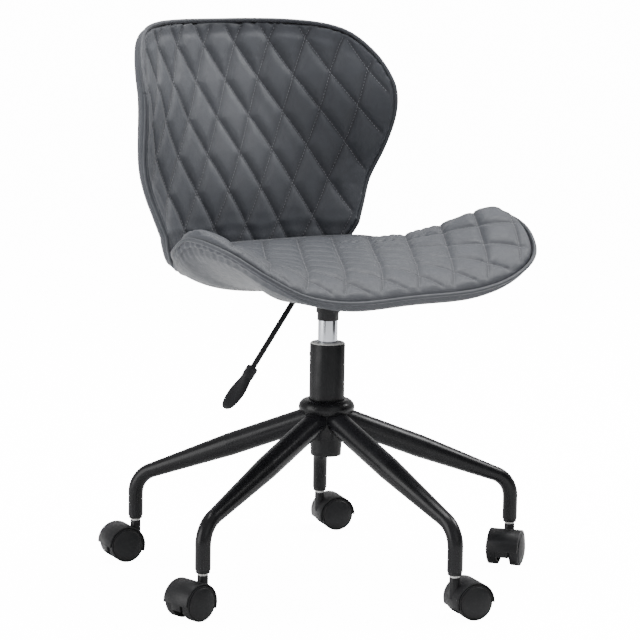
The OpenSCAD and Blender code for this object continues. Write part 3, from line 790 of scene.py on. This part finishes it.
seat_stitches = stitches(
    "seat_stitches", seat_quilt, lattice_paths(seat_lattice, SEAT_OUT, SEAT_SPAN),
    lambda a, b: (Vector((a * MM, b * MM, 0.6)), Vector((0, 0, -1))))
back_stitches = stitches(
    "back_stitches", back_quilt, lattice_paths(back_lattice, BACK_OUT, BACK_SPAN),
    lambda a, b: (Vector((a * MM, -0.1, b * MM)), Vector((0, 1, 0))))


COVER_SIDES = 540
COVER_T = 1.6


def outline_samples(outline, sides):
    """Directions round an outline, with its radius and values there."""
    step = np.arange(sides) / sides * 2 * math.pi
    a = outline.centre[0] + np.cos(step)
    b = outline.centre[1] + np.sin(step)
    _, values = outline.at(a, b)
    return step, outline.radius_towards(step), values


def cover_object(name, rows, centre):
    """A thin closed cover from rows of points, the first at its open rim and the last round its centre."""
    rows = np.array(rows)
    count, sides = rows.shape[:2]
    verts = np.vstack([rows.reshape(-1, 3), [centre]]) * MM
    faces = net_faces(count, sides)
    last = (count - 1) * sides
    faces += [(last + k, last + (k + 1) % sides, count * sides) for k in range(sides)]
    obj = turned_out(name, verts, faces)
    mod = obj.modifiers.new("Solidify", "SOLIDIFY")
    mod.thickness = COVER_T * MM
    mod.offset = -1 if cover_faces_out(obj) else 1
    apply_modifiers(obj)
    return obj


def cover_faces_out(obj):
    """Whether the cover's last faces point away from its inside, which is above or before them."""
    face = obj.data.polygons[-1]
    inside = Vector((0, 0, 1)) if abs(face.normal.z) > 0.7 else Vector((0, -1, 0))
    return face.normal.dot(inside) < 0


def seat_cover():
    """Border strip, rounded lower edge and underside of the seat, with pleats below the wings' piping."""
    step, radius, (z, h, start, strip) = outline_samples(SEAT_OUT, COVER_SIDES)
    corner = 6.0
    cos, sin = np.cos(step), np.sin(step)
    length = np.concatenate([[0], np.cumsum(np.hypot(np.diff(radius * cos), np.diff(radius * sin)))])
    wing = smooth01((z - 462) / 40)
    rows = []

    def add(r_mm, height, down):
        pleat = wing * np.exp(-(down / 24.0) ** 2) * smooth01(down / 3)
        phase = length / 2.05 + 1.3 * np.sin(length / 31.0) + down * 0.09
        out = r_mm + (1.25 * pleat * np.sin(phase) + 0.5 * pleat * np.sin(phase * 0.47))
        rows.append(np.column_stack([out * cos, out * sin, height]))

    side = strip - corner - 1
    for t in np.linspace(0, 1, 8):
        add(radius + 0.6 + 0.9 * math.sin(math.pi * t), z - 1 - side * t, side * t)
    for phi in np.radians([15, 30, 45, 60, 75, 90]):
        add(radius + 0.6 - corner * (1 - math.cos(phi)), z - strip + corner * (1 - math.sin(phi)),
            side + corner * phi)
    for q in np.linspace(0, 1, 60)[1:-1]:
        r_mm = (radius + 0.6 - corner) * (1 - q)
        x, y = r_mm * cos, r_mm * sin
        add(r_mm, seat_low(x, y), side + corner * 1.6 + (radius - corner) * q)
    obj = cover_object("seat_cover", rows, (0, 0, SEAT_UNDER_Z))
    paint(obj, "grey_leather")
    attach(obj, "seat")
    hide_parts("seat_under_cover")


def back_cover():
    """Side strip, rounded rear edge and outer face of the back."""
    step, radius, _ = outline_samples(BACK_OUT, COVER_SIDES)
    corner = 4.5
    cos, sin = np.cos(step), np.sin(step)
    rows = []

    def add(r_mm, depth, base):
        x, z = r_mm * cos, BACK_MID_Z + r_mm * sin
        rim_x, rim_z = base * cos, BACK_MID_Z + base * sin
        point = back_point(rim_x, rim_z, depth)
        rows.append(point + np.column_stack([x - rim_x, np.zeros_like(x), z - rim_z]))

    for t in np.linspace(0, 1, 7):
        depth = np.full_like(radius, 1 + (BACK_EDGE_T - corner - 1) * t)
        add(radius + 0.5 + 0.8 * math.sin(math.pi * t), depth, radius)
    for phi in np.radians([15, 30, 45, 60, 75]):
        depth = np.full_like(radius, BACK_EDGE_T - corner + corner * math.sin(phi))
        add(radius + 0.5 - corner * (1 - math.cos(phi)), depth, radius - corner * (1 - math.cos(phi)))
    for q in np.linspace(0, 1, 64)[:-1]:
        base = (radius - corner) * (1 - q)
        ratio = base / radius
        slack = 0.5 * np.sin((BACK_MID_Z + base * sin) / 6.5 + np.sin(base * cos / 31.0))
        slack = slack * np.exp(-((BACK_MID_Z + base * sin - 500) / 34) ** 2) * smooth01((1 - ratio) * 8)
        add(base, back_thick(ratio) + slack, base)
    centre = back_point(np.zeros(1), np.full(1, BACK_MID_Z), np.full(1, BACK_MID_T))[0]
    obj = cover_object("back_cover", rows, centre)
    paint(obj, "grey_leather")
    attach(obj, "seat")
    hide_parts("back_rear_cover")


def piping(name, outline, point, replaced):
    """Covered cord round the whole edge, with its points spaced evenly."""
    step, radius, values = outline_samples(outline, 720)
    path = point(step, radius, values)
    gaps = np.linalg.norm(np.roll(path, -1, 0) - path, axis=1)
    at = np.concatenate([[0], np.cumsum(gaps)])
    count = int(at[-1] / 2.4)
    even = np.arange(count) / count * at[-1]
    closed = np.vstack([path, path[:1]])
    path = np.column_stack([np.interp(even, at, col) for col in closed.T])
    obj = swept_tube(name, path * MM, PIPING_R * MM, wobble=0.018)
    paint(obj, "piping")
    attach(obj, "seat")
    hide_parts(replaced)


def seat_piping_path(step, radius, values):
    out = radius + PIPING_R - 0.6
    return np.column_stack([out * np.cos(step), out * np.sin(step), values[0] - PIPING_R + 1])


def back_piping_path(step, radius, values):
    cos, sin = np.cos(step), np.sin(step)
    y = back_y(radius * cos, BACK_MID_Z + radius * sin) + PIPING_R - 1
    out = radius + PIPING_R - 0.6
    return np.column_stack([out * cos, y, BACK_MID_Z + out * sin])


seat_cover()
back_cover()
piping("seat_welt", SEAT_OUT, seat_piping_path, "seat_piping")
piping("back_welt", BACK_OUT, back_piping_path, "back_piping")
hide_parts("seat_cushion")
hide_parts("back_cushion")
for pad, seams in ((seat_quilt, seat_stitches), (back_quilt, back_stitches)):
    paint(pad, "quilted")
    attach(pad, "seat")
    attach(seams, "seat")


# --- Moulded and turned parts ---

def lathe(name, profile, origin, axis, sides=72):
    """Solid of revolution from (radius, distance along the axis) pairs in millimetres."""
    axis = Vector(axis).normalized()
    side = axis.cross(Vector((0, 0, 1))).normalized()
    up = side.cross(axis)
    verts, faces, rows = [], [], []
    for r, h in profile:
        centre = Vector(origin) + axis * (h * MM)
        if r < 1e-6:
            rows.append([len(verts)])
            verts.append(centre)
            continue
        rows.append(list(range(len(verts), len(verts) + sides)))
        for k in range(sides):
            angle = 2 * math.pi * k / sides
            verts.append(centre + (side * math.cos(angle) + up * math.sin(angle)) * (r * MM))
    for low, high in zip(rows, rows[1:]):
        for k in range(sides):
            a, b = low[k % len(low)], low[(k + 1) % len(low)]
            c, d = high[k % len(high)], high[(k + 1) % len(high)]
            faces.append(tuple(dict.fromkeys((a, b, d, c))))
    obj = turned_out(name, verts, faces)
    obj.data.set_sharp_from_angle(angle=math.radians(38))
    return obj


WHEEL_R = 25.0
WHEEL_W = 18.8
DOME_H = 5.0
AXLE_BORE = 3.05
WHEEL_GAP = 9.7      # from the middle of the caster to the inner side of a wheel
JOINTS = {j["name"]: j for j in frame["joints"]}


def wheel_profile():
    """Half section of a wheel from the bottom of its bore, round the tread, to the tip of the dome."""
    tread = WHEEL_W - DOME_H
    dome_r = (WHEEL_R ** 2 + DOME_H ** 2) / (2 * DOME_H)

    def dome(r):
        return tread + DOME_H - dome_r + math.sqrt(dome_r ** 2 - r ** 2)

    bore = [(0, tread - 2), (AXLE_BORE, tread - 2), (AXLE_BORE, 0.5), (AXLE_BORE + 0.5, 0)]
    inner = [(7.4, 0), (7.8, 0.4), (7.8, 3.4), (8.4, 4), (19.4, 4), (20, 3.4), (20, 0.4), (20.4, 0)]
    # The tyre has one narrow groove round the middle of its tread.
    tyre = [(WHEEL_R - 1.3, 0), (WHEEL_R - 0.35, 0.4), (WHEEL_R, 1.3), (WHEEL_R, 6.0),
            (WHEEL_R - 0.35, 6.4), (WHEEL_R - 0.35, 7.0), (WHEEL_R, 7.4), (WHEEL_R, tread - 0.9),
            (WHEEL_R - 0.3, tread - 0.2), (WHEEL_R - 1.0, tread + 0.1)]
    rim = [(WHEEL_R - 1.7, tread + 0.1), (WHEEL_R - 1.9, tread - 0.7), (WHEEL_R - 2.5, tread - 0.7),
           (WHEEL_R - 2.7, dome(WHEEL_R - 2.7) - 0.5), (WHEEL_R - 3.3, dome(WHEEL_R - 3.3))]
    cap = [(r, dome(r)) for r in (20.4, 18.6, 16.5, 14, 11.5, 9, 6.5, 4, 2)]
    return bore + inner + tyre + rim + cap + [(0, WHEEL_W)]


for number in range(1, 6):
    for side, sign in (("left", 1), ("right", -1)):
        joint = JOINTS[f"wheel_spin_{side}_{number}"]
        axis = Vector(joint["axis"]) * sign
        origin = Vector(joint["pos_m"]) + axis * WHEEL_GAP * MM
        wheel = lathe(f"caster_wheel_{side}_{number}", wheel_profile(), origin, axis)
        paint(wheel, "black_plastic")
        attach(wheel, f"wheel_{side}_{number}")
        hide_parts(f"wheel_{side}_{number}")


def loft(name, sections, sides=36):
    """Closed shape through sections given as (centre, side vector, up vector, exponent) in metres."""
    verts = []
    for centre, u, v, power in sections:
        for k in range(sides):
            angle = 2 * math.pi * k / sides
            c, s = math.cos(angle), math.sin(angle)
            x = math.copysign(abs(c) ** (2 / power), c)
            y = math.copysign(abs(s) ** (2 / power), s)
            verts.append(Vector(centre) + Vector(u) * x + Vector(v) * y)
    faces = net_faces(len(sections), sides)
    first, last = len(verts), len(verts) + 1
    verts += [Vector(sections[0][0]), Vector(sections[-1][0])]
    base = (len(sections) - 1) * sides
    for k in range(sides):
        faces.append((first, (k + 1) % sides, k))
        faces.append((last, base + k, base + (k + 1) % sides))
    return turned_out(name, verts, faces)


LEVER_BEND = Vector((-60, 0, 410)) * MM      # where the rod turns down
LEVER_DROP = math.radians(50.8)              # and how steeply
PADDLE_START = 119.0                         # from there to the collar, along the rod
PADDLE_ROLL = math.radians(18)


def lever_paddle():
    """Grip pushed over the end of the rod: a round collar, a waist and a flat spoon with a thumb dish."""
    out = Vector((-math.cos(LEVER_DROP), 0, -math.sin(LEVER_DROP)))
    level = Vector((0, 1, 0))
    upright = Vector((-math.sin(LEVER_DROP), 0, math.cos(LEVER_DROP)))
    # The flat of the spoon is turned a little round the rod, and it curves away from the rod's line.
    wide = level * math.cos(PADDLE_ROLL) + upright * math.sin(PADDLE_ROLL)
    up = upright * math.cos(PADDLE_ROLL) - level * math.sin(PADDLE_ROLL)
    # Distance from the collar's end, half width, half thickness, height of the centre line, squareness.
    stations = [
        (0.0, 4.4, 4.4, 0, 2.0), (0.25, 6.6, 6.6, 0, 2.0), (1.0, 7.8, 7.8, 0, 2.0), (2.4, 8.3, 8.3, 0, 2.0),
        (9, 8.5, 8.4, 0, 2.0), (17, 8.3, 8.1, 0, 2.0), (17.6, 7.9, 7.7, 0, 2.0), (18.4, 7.8, 7.5, 0, 2.0),
        (22, 8.4, 6.7, 0.2, 2.1), (27, 9.9, 5.7, 0.5, 2.2), (32, 11.3, 4.9, 0.9, 2.3),
        (38, 12.3, 4.4, 1.5, 2.4), (45, 12.7, 4.1, 2.3, 2.4), (52, 12.5, 3.9, 3.1, 2.4),
        (59, 11.7, 3.7, 3.9, 2.3), (65, 10.2, 3.4, 4.6, 2.2), (69, 8.3, 3.0, 5.1, 2.1),
        (72, 5.6, 2.3, 5.4, 2.0), (73.4, 2.6, 1.2, 5.6, 2.0),
    ]
    sections = []
    for t, half_w, half_t, lift, power in stations:
        centre = LEVER_BEND + out * ((PADDLE_START + t) * MM) + up * (lift * MM)
        sections.append((centre, wide * half_w * MM, up * half_t * MM, power))
    obj = loft("lever_grip", sections)
    subdivide(obj)
    co = coords(obj)
    local = (co - np.array(LEVER_BEND)) / MM
    t = local @ np.array(out) - PADDLE_START
    w = local @ np.array(wide)
    n = normals(obj) @ np.array(up)
    dish = 1.5 * np.exp(-((t - 51) / 15.0) ** 2 - (w / 8.5) ** 2) * np.clip(n, 0, 1)
    set_coords(obj, co - np.array(up) * dish[:, None] * MM)
    paint(obj, "handle_plastic")
    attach(obj, "lever")
    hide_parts("lever_paddle")


lever_paddle()

# The CAD's own metal and moulded parts keep their shape; their sharp edges are eased a little.
EASED = {"column_tube": 0.9, "column_bush": 0.4, "hub_collar": 0.8, "gas_cylinder": 0.3, "hub_sleeve": 0.5,
         "caster_sockets": 0.5, "stem_washers": 0.4, "seat_mechanism": 0.6, "mechanism_bolts": 0.4}
EASED.update({f"caster_hood_{i}": 0.7 for i in range(1, 6)})
for name, width in EASED.items():
    node = frame["nodes"][name]
    weld = node.modifiers.new("Weld", "WELD")
    weld.merge_threshold = 0.00001
    bevel = node.modifiers.new("Bevel", "BEVEL")
    bevel.width = width * MM
    bevel.segments = 2
    bevel.limit_method = "ANGLE"
    bevel.angle_limit = math.radians(40)
    bevel.harden_normals = True


# --- Floor, light and camera ---

VIEW_AIM = Vector((0, 0, 0.3725))
VIEW_TURN = math.radians(-40)     # from straight in front of the chair, towards the sitter's right
VIEW_RISE = math.radians(8.755)
VIEW_DISTANCE = 3.7536
VIEW_ROLL = math.radians(0.93)
VIEW_LENS = 147.9
VIEW_SHIFT = -0.0124

FLOOR_NEAR = -9.0                 # along the view, from below the chair
FLOOR_FAR = 5.0
FLOOR_HALF_WIDTH = 12.0
WALL_BEND = 2.5
WALL_TOP = 9.0
WORLD_LIGHT = 0.6
STUDIO_GLOW = 14.0                # where the camera sees the studio, it is white as lit paper
# Black cards beside the chair, which darken what its sides reflect: direction in degrees and half width.
FLAGS = ((308, 0.60), (196, 0.20))
FLAG_DISTANCE = 1.7
FLAG_HEIGHTS = (0.05, 1.5)


def backdrop():
    """One pale surface: a floor that curves up into a wall far behind the chair."""
    away = Vector((math.sin(-VIEW_TURN), math.cos(-VIEW_TURN), 0))
    across = Vector((away.y, -away.x, 0))
    profile = [(FLOOR_NEAR, 0.0), (FLOOR_FAR, 0.0)]
    for a in np.radians(np.arange(5, 91, 5)):
        profile.append((FLOOR_FAR + WALL_BEND * math.sin(a), WALL_BEND * (1 - math.cos(a))))
    profile.append((FLOOR_FAR + WALL_BEND, WALL_TOP))
    verts, faces = [], []
    for t, h in profile:
        for s in (-FLOOR_HALF_WIDTH, FLOOR_HALF_WIDTH):
            verts.append(away * t + across * s + Vector((0, 0, h)))
    for i in range(len(profile) - 1):
        faces.append((2 * i, 2 * i + 1, 2 * i + 3, 2 * i + 2))
    floor = new_object("studio_floor", verts, faces)
    m = Nodes("studio_white")
    seen = m.node("ShaderNodeLightPath").outputs["Is Camera Ray"]
    m.link(m.math("MULTIPLY", seen, STUDIO_GLOW), m.shader.inputs["Emission Strength"])
    m.set(Specular_IOR_Level=0.2, Emission_Color=(1, 1, 1, 1))
    tone = m.ramp(m.noise(0.6, 2), [(0.2, (0.90, 0.90, 0.905)), (0.8, (0.93, 0.93, 0.93))])
    m.finish(tone, m.remap(m.noise(3, 2), 0.8, 0.9))
    floor.data.materials.append(m.material)


def flags():
    """The black cards, out of the camera's sight."""
    m = Nodes("studio_black")
    m.finish(m.ramp(m.noise(2, 2), [(0.2, (0.010, 0.010, 0.010)), (0.8, (0.014, 0.014, 0.014))]))
    low, high = FLAG_HEIGHTS
    for direction, half_width in FLAGS:
        angle = math.radians(direction)
        out = Vector((math.cos(angle), math.sin(angle), 0))
        side = Vector((-out.y, out.x, 0)) * half_width
        corners = []
        for u, h in ((-1, low), (1, low), (1, high), (-1, high)):
            corners.append(out * FLAG_DISTANCE + side * u + Vector((0, 0, h)))
        flag = new_object("studio_flag", corners, [(0, 1, 2, 3)], smooth=False)
        flag.data.materials.append(m.material)
        flag.visible_camera = False


def area_light(name, place, target, size, power):
    data = bpy.data.lights.new(name, "AREA")
    data.size = size
    data.energy = power
    light = bpy.data.objects.new(name, data)
    light.location = place
    light.rotation_euler = (Vector(target) - Vector(place)).to_track_quat("-Z", "Y").to_euler()
    SCENE.collection.objects.link(light)


def lights():
    """Four soft lights and an even white world, which only the camera sees at full glow."""
    world = bpy.data.worlds.new("studio_world")
    SCENE.world = world
    world.use_nodes = True
    background = world.node_tree.nodes["Background"]
    background.inputs["Color"].default_value = (1, 1, 1, 1)
    seen = world.node_tree.nodes.new("ShaderNodeLightPath").outputs["Is Camera Ray"]
    strength = world.node_tree.nodes.new("ShaderNodeMath")
    strength.operation = "MULTIPLY_ADD"
    strength.inputs[1].default_value = STUDIO_GLOW
    strength.inputs[2].default_value = WORLD_LIGHT
    world.node_tree.links.new(seen, strength.inputs[0])
    world.node_tree.links.new(strength.outputs[0], background.inputs["Strength"])
    middle = (0, 0, 0.45)
    area_light("key", (2.5, -1.0, 2.9), middle, 1.5, 105)
    area_light("left", (-3.0, 0.9, 1.0), middle, 2.2, 75)
    area_light("fill", (-0.6, -3.4, 1.6), middle, 2.0, 10)
    area_light("top", (0.2, 0.3, 3.2), middle, 1.8, 95)


def camera():
    """The main view: from the sitter's front right, a little higher than the chair."""
    ground = math.cos(VIEW_RISE)
    back = Vector((math.sin(VIEW_TURN) * ground, -math.cos(VIEW_TURN) * ground, math.sin(VIEW_RISE)))
    data = bpy.data.cameras.new("camera")
    data.sensor_width = 36
    data.lens = VIEW_LENS
    data.shift_x = VIEW_SHIFT
    cam = bpy.data.objects.new("camera", data)
    cam.location = VIEW_AIM + back * VIEW_DISTANCE
    cam.rotation_euler = (-back).to_track_quat("-Z", "Y").to_euler()
    cam.rotation_euler.rotate_axis("Z", VIEW_ROLL)
    SCENE.collection.objects.link(cam)
    SCENE.camera = cam


backdrop()
flags()
lights()
camera()

bpy.context.view_layer.update()
